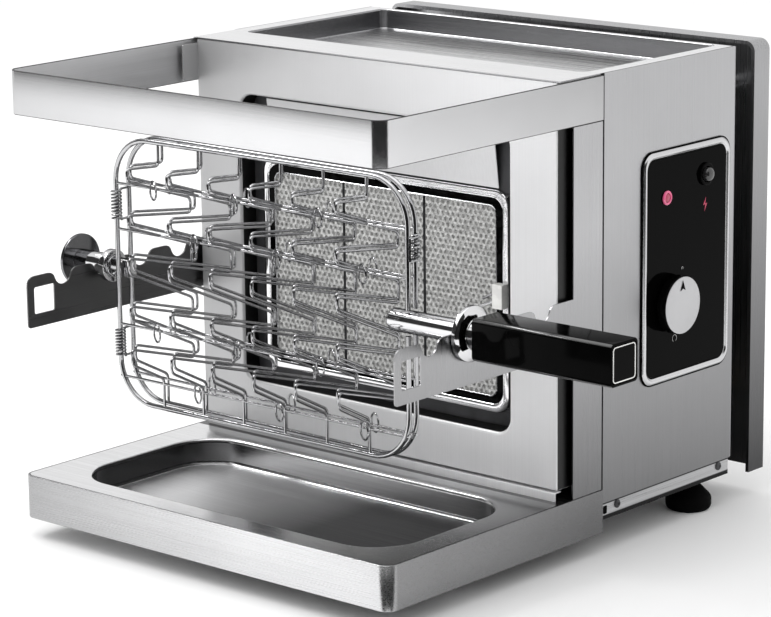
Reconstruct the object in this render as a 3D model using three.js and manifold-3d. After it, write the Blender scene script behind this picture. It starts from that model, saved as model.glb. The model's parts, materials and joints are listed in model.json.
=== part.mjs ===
// Infra-red gas rotisserie: an open front frame with a hood band and a drip tray, a ceramic burner
// set in the front panel, and a wire food basket on a spit that rests in the two side arms.
// Millimetres, +Z up. The front of the oven faces -Y, and the handle and controls are on the +X side.
// The pieces are laid out from the middle of the base skirt's lower front edge, and the finished group
// is then moved so that its origin is under the middle of its box.
import * as THREE from 'three';
import { mergeVertices } from 'three/addons/utils/BufferGeometryUtils.js';
import Module from 'manifold-3d';

const wasm = await Module();
wasm.setup();

// ---- driving dimensions -------------------------------------------------------------------------
const HALF_WIDTH = 220;        // hood, columns and covers, from the middle plane
const SHEET = 1.2;             // sheet steel thickness
const GAP = 0.3;               // clearance between touching pieces
const FRAME_DEPTH = 291;       // front edge to the front of the side covers
const BASE_HEIGHT = 40;        // base skirt
const HOOD_LOW = 373;          // hood band, lower edge
const HOOD_TOP = 413;          // hood band, upper edge
const HOOD_FRONT = -2;         // hood band, front face
const PANEL_Y = 233;           // face of the front panel
const COLUMN_Y = 249;          // front edge of the columns
const BODY_BACK = 487;         // back edge of the side covers
const BODY_LOW = 27;           // lower edge of the side covers
const SIDE_RAIL_LOW = 11.5;    // underside of the rails below them, which carry the rear feet
const BODY_TOP = 414.5;        // top of the body
const SHIELD_FRONT = 518;      // rear heat shield, front lip
const SHIELD_BACK = 542;       // rear heat shield, back face
const SHIELD_LOW = 5;          // rear heat shield, lower edge
const GROUND = -18.5;          // underside of the feet
const SPIT_Y = 106;            // spit axis
const SPIT_Z = 218.8;
const SPIT_R = 10;             // spindle radius
const ARM_TOP = 221.5;
const ARM_LOW = 174;
const ARM_FRONT = 12;
const NOTCH_PITCH = 50;        // the spit can rest at four distances from the burner
const OPENING = { half: 161, low: 93, top: 366, radius: 15, depth: 23 };
const BEZEL = { front: 248.5, half: 148, low: 105, top: 308, band: 15, radius: 16 };
const PLAQUE = { width: 96.7, pitch: 97, low: 110, top: 303, front: 251.2, thick: 12 };
const BASKET = { left: -189, right: 158, half: 123, corner: 40, wire: 2.3, mesh: 1.3 };
const PLANE_LEFT = 8;          // half the distance between the two basket frames at the hinge
const PLANE_RIGHT = 4.8;       // and at the latch
const HANDLE = { start: 238, end: 383, side: 36.5, wall: 2.6, radius: 4 };
const CONTROL = { y0: 346.5, y1: 478, z0: 122, z1: 334, radius: 14, band: 7 };
const KNOB = { y: 389, z: 193, r: 27, start: 226, depth: 10, seat: 6 };
const IGNITER = { y: 440, z: 304 };
const INDICATOR = { y: 381, z: 291 };
const CUT_FROM = 200;          // cutters for the controls' holes start inside the right cover
const CUT_TO = 240;            // and end outside the control plate
const FOOT_X = 198;
const REAR_FOOT_Y = 453;
const FRONT_FOOT_X = 150;
const FRONT_FOOT_Y = 110;

// ---- materials ----------------------------------------------------------------------------------
const finish = (color, roughness, metalness) => () =>
  new THREE.MeshStandardMaterial({ color, roughness, metalness });
const brushed = finish(0xb9bbbd, 0.35, 1);
const polished = finish(0xd8dadc, 0.12, 1);
const chrome = finish(0xe4e6e8, 0.06, 1);
const brass = finish(0xb08d4a, 0.35, 1);
const iron = finish(0x4a4a4c, 0.6, 0.9);
const ceramic = finish(0xa9a7a2, 0.9, 0);
const porcelain = finish(0xf0efe9, 0.4, 0);
const blackGloss = finish(0x0a0a0b, 0.1, 0);
const blackRubber = finish(0x141414, 0.85, 0);
const silver = finish(0xcfd1d2, 0.3, 0.9);
const redLens = finish(0xd03048, 0.2, 0);

// ---- solids -------------------------------------------------------------------------------------
function toSolid(geometry) {
  const bare = geometry.index ? geometry.toNonIndexed() : geometry.clone();
  for (const name of Object.keys(bare.attributes)) if (name !== 'position') bare.deleteAttribute(name);
  const merged = mergeVertices(bare, 1e-4);
  const vertProperties = new Float32Array(merged.attributes.position.array);
  const triVerts = new Uint32Array(merged.index.array);
  const build = () => new wasm.Manifold(new wasm.Mesh({ numProp: 3, vertProperties, triVerts }));
  const solid = build();
  if (solid.volume() > 0) return solid;
  // A turned profile may run either way, so a solid that comes out inside out has its faces reversed.
  triVerts.reverse();
  return build();
}

function toGeometry(solid) {
  const mesh = solid.getMesh();
  const geometry = new THREE.BufferGeometry();
  geometry.setAttribute('position', new THREE.BufferAttribute(new Float32Array(mesh.vertProperties), 3));
  geometry.setIndex(new THREE.BufferAttribute(new Uint32Array(mesh.triVerts), 1));
  geometry.computeVertexNormals();
  return geometry;
}

const joined = (solids) => solids.reduce((sum, solid) => sum.add(solid));

function box(x0, x1, y0, y1, z0, z1) {
  const geometry = new THREE.BoxGeometry(x1 - x0, y1 - y0, z1 - z0);
  geometry.translate((x0 + x1) / 2, (y0 + y1) / 2, (z0 + z1) / 2);
  return toSolid(geometry);
}

// A rectangle from (u0, v0) to (u1, v1) with its four corners rounded: low-left, low-right, top-right,
// top-left.
function rounded(u0, u1, v0, v1, radii, Kind = THREE.Shape) {
  const [a, b, c, d] = Array.isArray(radii) ? radii : [radii, radii, radii, radii];
  const shape = new Kind();
  shape.moveTo(u0 + a, v0);
  shape.lineTo(u1 - b, v0);
  if (b) shape.absarc(u1 - b, v0 + b, b, -Math.PI / 2, 0);
  shape.lineTo(u1, v1 - c);
  if (c) shape.absarc(u1 - c, v1 - c, c, 0, Math.PI / 2);
  shape.lineTo(u0 + d, v1);
  if (d) shape.absarc(u0 + d, v1 - d, d, Math.PI / 2, Math.PI);
  shape.lineTo(u0, v0 + a);
  if (a) shape.absarc(u0 + a, v0 + a, a, Math.PI, 1.5 * Math.PI);
  return shape;
}

const extruded = (shape, depth, segments) =>
  new THREE.ExtrudeGeometry(shape, { depth, bevelEnabled: false, curveSegments: segments });

// The outline lies in X and Y, and the solid runs from z0 to z1.
function plateXY(shape, z0, z1, segments = 6) {
  const geometry = extruded(shape, z1 - z0, segments);
  geometry.translate(0, 0, z0);
  return toSolid(geometry);
}

// The outline lies in X and Z, and the solid runs from y0 to y1.
function plateXZ(shape, y0, y1, segments = 6) {
  const geometry = extruded(shape, y1 - y0, segments);
  geometry.rotateX(Math.PI / 2);
  geometry.translate(0, y1, 0);
  return toSolid(geometry);
}

// The outline lies in Y and Z, and the solid runs from x0 to x1.
function plateYZ(shape, x0, x1, segments = 6) {
  const geometry = extruded(shape, x1 - x0, segments);
  geometry.rotateX(Math.PI / 2);
  geometry.rotateZ(Math.PI / 2);
  geometry.translate(x0, 0, 0);
  return toSolid(geometry);
}

// A round bar of radius r between two points.
function bar(from, to, r, sides = 24) {
  const a = new THREE.Vector3(...from);
  const b = new THREE.Vector3(...to);
  const run = b.clone().sub(a);
  const geometry = new THREE.CylinderGeometry(r, r, run.length(), sides);
  const turn = new THREE.Quaternion().setFromUnitVectors(new THREE.Vector3(0, 1, 0), run.normalize());
  geometry.applyQuaternion(turn);
  geometry.translate((a.x + b.x) / 2, (a.y + b.y) / 2, (a.z + b.z) / 2);
  return toSolid(geometry);
}

// A cutter for a round hole through the right-hand cover and control plate.
const boreThrough = ({ y, z }, r, sides) => bar([CUT_FROM, y, z], [CUT_TO, y, z], r, sides);

// A turned piece about an axis along X: the profile is a list of [x, radius].
function turnedX(profile, y, z, sides = 32) {
  const geometry = new THREE.LatheGeometry(profile.map(([x, r]) => new THREE.Vector2(r, x)), sides);
  geometry.rotateZ(-Math.PI / 2);
  geometry.translate(0, y, z);
  return toSolid(geometry);
}

// The outline of a wire of half-width r that follows a flat line of points, with mitred corners.
function wireOutline(points, r) {
  const normals = points.slice(1).map(([u, v], i) => {
    const [du, dv] = [u - points[i][0], v - points[i][1]];
    const length = Math.hypot(du, dv);
    return [-dv / length, du / length];
  });
  const sideOf = (side) => points.map(([u, v], i) => {
    const [a, b] = [normals[Math.max(i - 1, 0)], normals[Math.min(i, normals.length - 1)]];
    const scale = (side * r) / (1 + a[0] * b[0] + a[1] * b[1]);
    return new THREE.Vector2(u + scale * (a[0] + b[0]), v + scale * (a[1] + b[1]));
  });
  return new THREE.Shape([...sideOf(1), ...sideOf(-1).reverse()]);
}

// A tube with a hole through it along a curve.
function pipe(points, r, hole, steps) {
  const section = new THREE.Shape().absarc(0, 0, r, 0, 2 * Math.PI);
  if (hole) section.holes.push(new THREE.Path().absarc(0, 0, hole, 0, 2 * Math.PI, true));
  const extrudePath = new THREE.CatmullRomCurve3(points.map((p) => new THREE.Vector3(...p)), false,
    'catmullrom', 0.3);
  return toSolid(new THREE.ExtrudeGeometry(section, { steps, extrudePath, curveSegments: 5 }));
}

// ---- the assembly -------------------------------------------------------------------------------
const oven = new THREE.Group();

function place(name, solid, material, parent = oven) {
  const mesh = new THREE.Mesh(toGeometry(solid), material());
  mesh.name = name;
  parent.add(mesh);
  return mesh;
}

// ---- base -----------------------------------------------------------------------------------------
const SKIRT_HALF = HALF_WIDTH + 1;
const PLATE = 1.5;             // the thicker sheet of the skirt, the band and the side plates
const BITE = 0.3;              // how far welded pieces reach into each other
const TRAY_BACK = 228;
const TRAY_RIM = 1.4;
const RAIL = { low: 3, half: 20, lip: 7, sheet: 2 };

function makeBase() {
  const inner = SKIRT_HALF - PLATE;
  const [bend, innerBend] = [6, 5];
  const skirt = rounded(-SKIRT_HALF, SKIRT_HALF, 0, FRAME_DEPTH, [bend, bend, 0, 0]);
  const innerCorners = [innerBend, innerBend, 0, 0];
  skirt.holes.push(rounded(-inner, inner, PLATE, FRAME_DEPTH - PLATE, innerCorners, THREE.Path));
  // The ledge carries the drip tray's rim, and the deck closes the base behind the tray.
  const ledgeWidth = 10;
  const ledgeBack = TRAY_BACK + 12;
  const ledgeLow = BASE_HEIGHT - 3.4;
  const ledge = rounded(-inner - BITE, inner + BITE, PLATE - BITE, ledgeBack, innerCorners);
  ledge.holes.push(rounded(ledgeWidth - inner, inner - ledgeWidth, 12, TRAY_BACK - 8, 8, THREE.Path));
  const deckHalf = inner + 0.2;
  const deckLow = BASE_HEIGHT - 1.6;
  const deck = box(-deckHalf, deckHalf, TRAY_BACK + 2 * GAP, FRAME_DEPTH - 1, deckLow, BASE_HEIGHT);
  const bridge = box(-deckHalf, deckHalf, TRAY_BACK + 4, ledgeBack, BASE_HEIGHT - 3.2, BASE_HEIGHT - 1);
  place('base_skirt', joined([
    plateXY(skirt, 0, BASE_HEIGHT), plateXY(ledge, ledgeLow, deckLow - GAP), deck, bridge,
  ]), brushed);

  const railHalf = inner - GAP;
  const { low, half, lip, sheet } = RAIL;
  const [railFront, railBack] = [FRONT_FOOT_Y - half, FRONT_FOOT_Y + half];
  const lipTop = low + sheet + lip;
  place('front_foot_rail', joined([
    box(-railHalf, railHalf, railFront, railBack, low, low + sheet),
    box(-railHalf, railHalf, railFront, railFront + sheet, low, lipTop),
    box(-railHalf, railHalf, railBack - sheet, railBack, low, lipTop),
  ]), brushed);
}

function makeDripTray() {
  const rimHalf = SKIRT_HALF - PLATE - 0.5;
  const floor = 14;
  const dish = { x0: -185, x1: 190, y0: 28, y1: 205, r: 45 };
  const rimFront = 2.2;
  const rimOutline = rounded(-rimHalf, rimHalf, rimFront, TRAY_BACK, [4, 4, 0, 0]);
  const rim = plateXY(rimOutline, BASE_HEIGHT - TRAY_RIM, BASE_HEIGHT);
  const shell = (grow, low, high) => plateXY(
    rounded(dish.x0 - grow, dish.x1 + grow, dish.y0 - grow, dish.y1 + grow, dish.r + grow), low, high, 8);
  place('drip_tray', rim.add(shell(SHEET, floor, BASE_HEIGHT - 0.5)).subtract(
    shell(0, floor + SHEET, BASE_HEIGHT + 2)), polished);
}

// ---- front frame ----------------------------------------------------------------------------------
function makeHoodBand() {
  const inner = HALF_WIDTH - PLATE;
  const bend = 9;
  const band = rounded(-HALF_WIDTH, HALF_WIDTH, HOOD_FRONT, FRAME_DEPTH, [bend, bend, 0, 0]);
  const innerBend = bend - PLATE;
  const inside = rounded(-inner, inner, HOOD_FRONT + PLATE, FRAME_DEPTH + 5, [innerBend, innerBend, 0, 0]);
  const hollow = plateXY(inside, HOOD_LOW - 1, HOOD_TOP + 1);
  place('hood_band', plateXY(band, HOOD_LOW, HOOD_TOP).subtract(hollow), polished);
}

// Column, arm, four rests for the spit and a square hole, cut from one sheet.
function sidePlateOutline() {
  const shape = new THREE.Shape();
  const nose = 9;
  const toe = 3;
  const lead = 8;              // each rest opens out over this length on both sides
  shape.moveTo(COLUMN_Y, BASE_HEIGHT + GAP);
  shape.lineTo(COLUMN_Y, ARM_LOW);
  shape.lineTo(ARM_FRONT + toe, ARM_LOW);
  shape.quadraticCurveTo(ARM_FRONT, ARM_LOW, ARM_FRONT, ARM_LOW + toe + 1);
  shape.lineTo(ARM_FRONT, ARM_TOP - nose);
  shape.quadraticCurveTo(ARM_FRONT, ARM_TOP, ARM_FRONT + nose, ARM_TOP);
  const cradle = SPIT_R + GAP + 0.1;
  const lip = 0.35;
  for (let i = -1; i <= 2; i += 1) {
    const y = SPIT_Y + i * NOTCH_PITCH;
    shape.lineTo(y - cradle - lead, ARM_TOP);
    shape.quadraticCurveTo(y - cradle - 1, ARM_TOP, y - cradle * Math.cos(lip),
      SPIT_Z - cradle * Math.sin(lip));
    shape.absarc(y, SPIT_Z, cradle, Math.PI + lip, 2 * Math.PI - lip);
    shape.quadraticCurveTo(y + cradle + 1, ARM_TOP, y + cradle + lead, ARM_TOP);
  }
  shape.lineTo(COLUMN_Y, ARM_TOP);
  shape.lineTo(COLUMN_Y, HOOD_LOW - GAP);
  shape.lineTo(FRAME_DEPTH - 1, HOOD_LOW - GAP);
  shape.lineTo(FRAME_DEPTH - 1, BASE_HEIGHT + GAP);
  shape.closePath();
  const hole = { y: ARM_FRONT + 8, z: ARM_LOW + 12, side: 25, radius: 2 };
  shape.holes.push(rounded(hole.y, hole.y + hole.side, hole.z, hole.z + hole.side, hole.radius, THREE.Path));
  return shape;
}

function makeSidePlate(name, side) {
  const across = (x0, x1) => (side > 0 ? [x0, x1] : [-x1, -x0]);
  const [front, back] = [COLUMN_Y + 4, FRAME_DEPTH - 2];
  const plate = plateYZ(sidePlateOutline(), ...across(HALF_WIDTH - PLATE, HALF_WIDTH), 4);
  // A strip behind the plate stands up inside the hood band, where the two are fastened.
  const strip = HALF_WIDTH - 3.2;
  const lapFoot = box(...across(strip, HALF_WIDTH - 1.3), front, back, HOOD_LOW - 23, HOOD_LOW - 1);
  const lap = box(...across(strip, HALF_WIDTH - PLATE - GAP), front, back, HOOD_LOW - 2, HOOD_TOP - 8);
  place(name, joined([plate, lapFoot, lap]), brushed);
}

function makeFrontPanel() {
  const half = 214.5;
  const low = 51;
  const face = rounded(-half, half, low, HOOD_TOP - GAP, 0);
  const back = FRAME_DEPTH - 6;
  const { half: open, low: openLow, top: openTop, radius, depth } = OPENING;
  const window = (grow) => rounded(-open - grow, open + grow, openLow - grow, openTop + grow, radius + grow);
  const tab = (side) => {
    const [x0, x1] = side > 0 ? [half - SHEET, half] : [-half, -half + SHEET];
    return box(x0, x1, PANEL_Y - 20, PANEL_Y + 1, HOOD_LOW + 2, HOOD_TOP - 4);
  };
  const pan = joined([
    plateXZ(face, PANEL_Y, PANEL_Y + SHEET),
    box(-half, -half + SHEET, PANEL_Y, back, low, HOOD_TOP - GAP),
    box(half - SHEET, half, PANEL_Y, back, low, HOOD_TOP - GAP),
    box(-half, half, PANEL_Y, back, low, low + SHEET),
    plateXZ(window(SHEET), PANEL_Y, PANEL_Y + depth, 5),
    tab(1), tab(-1),
  ]);
  place('front_panel', pan.subtract(plateXZ(window(0), PANEL_Y - 1, PANEL_Y + depth + 1, 5)), polished);
}

// ---- burner ---------------------------------------------------------------------------------------
const BURNER = { half: 148.4, low: 108.2, top: 304.8, wall: 1.4, back: 300, ledge: 6 };

function makeBurner() {
  const floorY = PANEL_Y + OPENING.depth - 8;
  const { half, low, top, radius } = OPENING;
  const surround = rounded(-half + GAP, half - GAP, low + GAP, top - GAP, radius);
  surround.holes.push(rounded(-BURNER.half - 0.5, BURNER.half + 0.5, BURNER.low - 0.5, BURNER.top + 0.5, 0,
    THREE.Path));
  place('burner_surround', plateXZ(surround, floorY + 4, floorY + 4 + SHEET, 5), iron);

  const frame = rounded(-BEZEL.half, BEZEL.half, BEZEL.low, BEZEL.top, BEZEL.radius);
  const inside = BEZEL.band + 2;
  frame.holes.push(rounded(-BEZEL.half + inside, BEZEL.half - inside, BEZEL.low + BEZEL.band,
    BEZEL.top - BEZEL.band, BEZEL.radius - 8, THREE.Path));
  place('burner_bezel', plateXZ(frame, BEZEL.front, BEZEL.front + 2.2), chrome);

  for (let i = 0; i < 3; i += 1) {
    const x = (i - 1) * PLAQUE.pitch;
    place(`ceramic_plaque_${i + 1}`, box(x - PLAQUE.width / 2, x + PLAQUE.width / 2,
      PLAQUE.front, PLAQUE.front + PLAQUE.thick, PLAQUE.low, PLAQUE.top), ceramic);
  }

  // A pan behind the plaques: they sit in its front, and a narrower plenum behind them feeds the gas.
  const seat = PLAQUE.front + PLAQUE.thick + GAP;
  const { half: bx, low: bz0, top: bz1, wall, back, ledge } = BURNER;
  const pan = box(-bx, bx, PLAQUE.front, back, bz0, bz1);
  const front = box(-bx + wall, bx - wall, PLAQUE.front - 1, seat, bz0 + wall, bz1 - wall);
  const plenum = box(-bx + ledge, bx - ledge, seat - 1, back - wall, bz0 + ledge, bz1 - ledge);
  const inlet = bar([MIXER.x, back - 5, MIXER.z], [MIXER.x, back + 5, MIXER.z], MIXER.bore);
  place('burner_body', pan.subtract(front).subtract(plenum).subtract(inlet), iron);

  const lip = { half: 136, rise: 54, lean: 7, thick: 1 };
  const deflector = toGeometry(box(-lip.half, lip.half, -lip.thick / 2, lip.thick / 2, 0, lip.rise));
  deflector.rotateX(Math.atan2(lip.lean, lip.rise));
  deflector.translate(0, BEZEL.front + 2, BEZEL.top + 1.5);
  place('burner_deflector', toSolid(deflector), brushed);
}

// The mixing tube turns from the gas jet into the back of the burner body.
const MIXER = { x: -20, y: 330, z: 206, r: 13, bore: 11.4 };
const JET_X = 96;
const VALVE = { x0: 168, x1: 204, y0: KNOB.y - 16, y1: KNOB.y + 16, z0: KNOB.z - 14, z1: KNOB.z + 14 };
const INLET = { x: 140, z: 70, start: 468, end: 550, hole: 13 };

function makeGasTrain() {
  const { x, y, z, r, bore } = MIXER;
  place('mixing_tube', pipe([
    [x, BURNER.back + GAP, z], [x, BURNER.back + 12, z], [x + 6, y - 4, z], [x + 20, y, z], [x + 60, y, z],
    [JET_X - 6, y, z],
  ], r, bore, 16), iron);
  const jetEnd = JET_X + 12;
  place('gas_jet', turnedX([
    [JET_X - 14, 0], [JET_X - 14, 3], [JET_X, 5], [JET_X + 4, 5], [JET_X + 4, 8], [jetEnd, 8], [jetEnd, 0],
  ], y, z, 12), brass);

  const { x0, x1, y0, y1, z0, z1 } = VALVE;
  const stemBore = bar([x1 - 14, KNOB.y, KNOB.z], [x1 + 4, KNOB.y, KNOB.z], 5.4);
  place('gas_valve', box(x0, x1, y0, y1, z0, z1).subtract(stemBore), brass);
  const middle = (x0 + x1) / 2;
  place('jet_pipe', pipe([
    [jetEnd + GAP, y, z], [JET_X + 30, y, z], [150, y + 4, z - 3], [middle - 4, y0 - 26, KNOB.z + 4],
    [middle, y0 - 12, KNOB.z], [middle, y0 - GAP, KNOB.z],
  ], 4, 0, 18), brass);
  const { x: inletX, z: inletZ, start, end } = INLET;
  place('inlet_pipe', pipe([
    [middle, KNOB.y, z0 - GAP], [middle, KNOB.y, 150], [middle - 8, KNOB.y + 2, 105],
    [inletX + 14, 426, inletZ + 6], [inletX, 450, inletZ], [inletX, start, inletZ],
  ], 5, 0, 18), brass);
  const nut = 16;
  const barb = end - 30;
  place('inlet_nipple', turnedX([
    [start + GAP, 0], [start + GAP, 11], [start + nut, 11], [start + nut, 7], [barb, 7], [barb + 2, 8.5],
    [barb + 10, 8.5], [barb + 14, 7], [end, 6], [end, 0],
  ], 0, 0, 12).rotate([0, 0, 90]).translate([inletX, 0, inletZ]), brass);
}

function makeIgnition() {
  const tab = { x0: 136, x1: 147, y0: 240, z0: 203, z1: 225 };
  place('electrode_bracket', box(tab.x0, tab.x1, tab.y0, BEZEL.front - GAP, tab.z0, tab.z1), porcelain);
  // Both rods start just clear of the bracket and reach down over the plaques.
  const rodX = tab.x0 - 0.8;
  place('ignition_electrode', bar([rodX, 244, 216], [121, 246, 209], 1.2, 8), chrome);
  place('thermocouple', bar([rodX, 244, 209], [118, 246, 202], 1.4, 8), chrome);
}

// ---- body casing ------------------------------------------------------------------------------------
const COVER_HALF = HALF_WIDTH + 0.5;
const STANDOFFS = [[-180, 60], [110, 60], [-180, 370], [180, 370]];

function makeCasing() {
  const outer = COVER_HALF;
  const front = FRAME_DEPTH + 0.4;
  const flange = 15;           // the covers' edges are folded in by this much
  const railWidth = 44;
  const railTop = BODY_LOW - GAP;
  const controlHoles = joined([
    boreThrough(KNOB, 9),
    boreThrough(IGNITER, 9.2),
  ]);
  for (const [name, side] of [['left_side_cover', -1], ['right_side_cover', 1]]) {
    const across = (x0, x1) => (side > 0 ? [x0, x1] : [-x1, -x0]);
    const cover = joined([
      box(...across(outer - SHEET, outer), front, BODY_BACK, BODY_LOW, BODY_TOP),
      box(...across(outer - flange, outer - 1), front, front + SHEET, BODY_LOW + 2, HOOD_TOP - 1),
      box(...across(outer - flange, outer - 1), BODY_BACK - SHEET, BODY_BACK, BODY_LOW + 2, HOOD_TOP - 1),
      box(...across(outer - flange, outer - 1), front, BODY_BACK, BODY_LOW + 1.8, BODY_LOW + 3),
    ]);
    place(name, side > 0 ? cover.subtract(controlHoles) : cover, brushed);
    const rail = joined([
      box(...across(HALF_WIDTH - SHEET, HALF_WIDTH), front, BODY_BACK - 2, SIDE_RAIL_LOW, railTop),
      box(...across(HALF_WIDTH - railWidth, HALF_WIDTH), front, BODY_BACK - 2, SIDE_RAIL_LOW,
        SIDE_RAIL_LOW + SHEET),
      box(...across(HALF_WIDTH - railWidth, HALF_WIDTH), front, BODY_BACK - 2, railTop - SHEET, railTop),
    ]);
    place(side > 0 ? 'right_rail' : 'left_rail', rail, brushed);
  }
  place('bottom_plate', box(-HALF_WIDTH + 2, HALF_WIDTH - 2, front, BODY_BACK - 1, BODY_LOW, BODY_LOW + 1.5),
    brushed);

  const nippleHole = bar([INLET.x, 480, INLET.z], [INLET.x, 560, INLET.z], INLET.hole);
  place('rear_wall', box(-HALF_WIDTH, HALF_WIDTH, BODY_BACK + GAP, BODY_BACK + GAP + SHEET, BODY_LOW + 0.5,
    BODY_TOP - 0.5).subtract(nippleHole), brushed);

  const recess = { half: 202, y0: 286, y1: 484, depth: 20, r: 8 };
  const rimHalf = HALF_WIDTH - 1.8;
  const tub = (grow, low, high) => plateXY(rounded(-recess.half - grow, recess.half + grow,
    recess.y0 - grow, recess.y1 + grow, recess.r + grow), low, high, 5);
  place('top_tray', plateXY(rounded(-rimHalf, rimHalf, PANEL_Y - 0.5, BODY_BACK - 0.8, 0),
    BODY_TOP - SHEET, BODY_TOP).add(tub(SHEET, BODY_TOP - recess.depth - SHEET, BODY_TOP - 0.5)).subtract(
    tub(0, BODY_TOP - recess.depth, BODY_TOP + 1)), polished);

  const top = BODY_TOP + 0.5;
  const lip = 3.5;
  const past = 5;              // cutters run this far past the sheet
  const outline = (inset, r, low) => rounded(-outer + inset, outer - inset, low, top - inset, [0, 0, r, r]);
  const pan = plateXZ(outline(0, 10, SHIELD_LOW), SHIELD_FRONT, SHIELD_BACK, 5);
  const inside = outline(SHEET, 9, SHIELD_LOW - past);
  const hollow = plateXZ(inside, SHIELD_FRONT + SHEET, SHIELD_BACK - SHEET, 5);
  const opening = outline(lip, 6.5, SHIELD_LOW - past);
  const mouth = plateXZ(opening, SHIELD_FRONT - past, SHIELD_FRONT + past, 5);
  place('rear_heat_shield', pan.subtract(hollow).subtract(mouth).subtract(nippleHole), brushed);
  STANDOFFS.forEach(([x, z], i) => {
    place(`shield_standoff_${i + 1}`, bar([x, BODY_BACK + 2 * GAP + SHEET, z],
      [x, SHIELD_BACK - SHEET - GAP, z], 6, 12), brushed);
  });
}

// ---- controls -------------------------------------------------------------------------------------
function makeControls() {
  const skin = COVER_HALF + GAP;
  const plateThick = 1.6;
  const { y0, y1, z0, z1, radius, band } = CONTROL;
  const frame = rounded(y0, y1, z0, z1, radius);
  const innerRadius = radius - 5;
  frame.holes.push(rounded(y0 + band, y1 - band, z0 + band, z1 - band, innerRadius, THREE.Path));
  place('control_bezel', plateYZ(frame, skin, skin + 3.2, 5), chrome);
  const inset = band + GAP;
  const outline = rounded(y0 + inset, y1 - inset, z0 + inset, z1 - inset, innerRadius);
  const plate = plateYZ(outline, skin, skin + plateThick, 5);
  const holes = joined([
    boreThrough(KNOB, 6),
    boreThrough(IGNITER, 8.9),
  ]);
  place('control_plate', plate.subtract(holes), blackGloss);

  const face = skin + plateThick;
  place('indicator_lens', turnedX([[face + GAP, 0], [face + GAP, 6.5], [face + 1.2, 6.5], [face + 2, 5],
    [face + 2.2, 0]], INDICATOR.y, INDICATOR.z, 20), redLens);
  const housing = turnedX([[190, 0], [190, 8.6], [face + GAP, 8.6], [face + GAP, 10.5], [face + 2.6, 10.5],
    [face + 2.6, 0]], IGNITER.y, IGNITER.z, 20);
  place('igniter_housing', housing.subtract(boreThrough(IGNITER, 7, 20)), blackGloss);
  place('igniter_button', turnedX([[208, 0], [208, 6.5], [face + 5, 6.5], [face + 7.2, 4.5], [face + 8, 0]],
    IGNITER.y, IGNITER.z, 20), blackGloss);

  const { y, z, start, depth, r, seat } = KNOB;
  const stem = 4;
  const bore = stem + GAP;
  const collar = { x0: 209, x1: 211, r: 8.2 };
  place('push_collar', turnedX([
    [collar.x0, bore], [collar.x0, collar.r], [collar.x1, collar.r], [collar.x1, bore], [collar.x0, bore],
  ], y, z, 16), brass);
  place('valve_stem', bar([194, y, z], [start + seat, y, z], stem, 16), brass);
  const knobEnd = start + depth;
  const knob = turnedX([
    [start, 0], [start, r - 1], [start + 1, r], [knobEnd - 1.2, r], [knobEnd, r - 1.2], [knobEnd, 0],
  ], y, z, 32);
  place('gas_knob', knob.subtract(bar([start - 2, y, z], [start + seat + GAP, y, z], bore, 16)), silver);
}

// ---- feet -------------------------------------------------------------------------------------------
function makeFoot(name, x, y, top) {
  const r = 21.5;
  const neck = 10;
  const profile = [
    [0, GROUND], [r - 2.5, GROUND], [r, GROUND + 3], [r, GROUND + 12],
    [neck + 1, top - 7], [neck, top], [0, top],
  ].map(([radius, z]) => new THREE.Vector2(radius, z));
  const geometry = new THREE.LatheGeometry(profile, 24);
  geometry.rotateX(Math.PI / 2);
  geometry.translate(x, y, 0);
  place(name, toSolid(geometry), blackRubber);
}

// ---- spit -------------------------------------------------------------------------------------------
const SPIT_LEFT = -254;
const FLANGE_R = 24;

function makeSpit() {
  const bore = SPIT_R + GAP;
  const leftEnd = -246;
  const barrelEnd = -201;
  // A flat tongue carries the basket's hinge side, narrow enough for the front half to swing past it.
  const tongue = box(barrelEnd - 2, -178, SPIT_Y - 4.3, SPIT_Y + 4.3, SPIT_Z - 8, SPIT_Z + 8);
  const barrel = bar([leftEnd, SPIT_Y, SPIT_Z], [barrelEnd, SPIT_Y, SPIT_Z], SPIT_R);
  place('left_spindle', barrel.add(tongue), chrome);
  place('left_flange', turnedX([
    [leftEnd - GAP, 0], [leftEnd - GAP, FLANGE_R], [leftEnd - 3, FLANGE_R], [leftEnd - 6, FLANGE_R - 3],
    [SPIT_LEFT, 12], [SPIT_LEFT, 0],
  ], SPIT_Y, SPIT_Z, 28), chrome);
  const collar = { x0: -209, x1: -202, r: 15 };
  place('left_collar', turnedX([
    [collar.x0, bore], [collar.x0, collar.r], [collar.x1, collar.r], [collar.x1, bore], [collar.x0, bore],
  ], SPIT_Y, SPIT_Z, 24), chrome);

  place('right_spindle', bar([136, SPIT_Y, SPIT_Z], [HANDLE.start + 10, SPIT_Y, SPIT_Z], SPIT_R), chrome);
  const face = 221;
  const flangeEnd = HANDLE.start - GAP;
  place('right_flange', turnedX([
    [face, bore], [face, FLANGE_R], [face + 4, FLANGE_R], [face + 6, FLANGE_R - 3], [face + 7, 13.5],
    [flangeEnd, 13], [flangeEnd, bore], [face, bore],
  ], SPIT_Y, SPIT_Z, 28), chrome);

  const { start, end, side, wall, radius } = HANDLE;
  const square = (half, corner) =>
    rounded(SPIT_Y - half, SPIT_Y + half, SPIT_Z - half, SPIT_Z + half, corner);
  const grip = plateYZ(square(side / 2, radius), start, end, 4);
  const hollow = plateYZ(square(side / 2 - wall, radius - 1.5), start + 14, end + 5, 4);
  const socket = bar([start - 5, SPIT_Y, SPIT_Z], [start + 10 + GAP, SPIT_Y, SPIT_Z], bore);
  place('spit_handle', grip.subtract(hollow).subtract(socket), blackGloss);
  const capOutline = square(side / 2 - wall - GAP, radius - 1.8);
  place('handle_cap', plateYZ(capOutline, end - 4, end - 0.5, 4), blackGloss);
}

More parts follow.
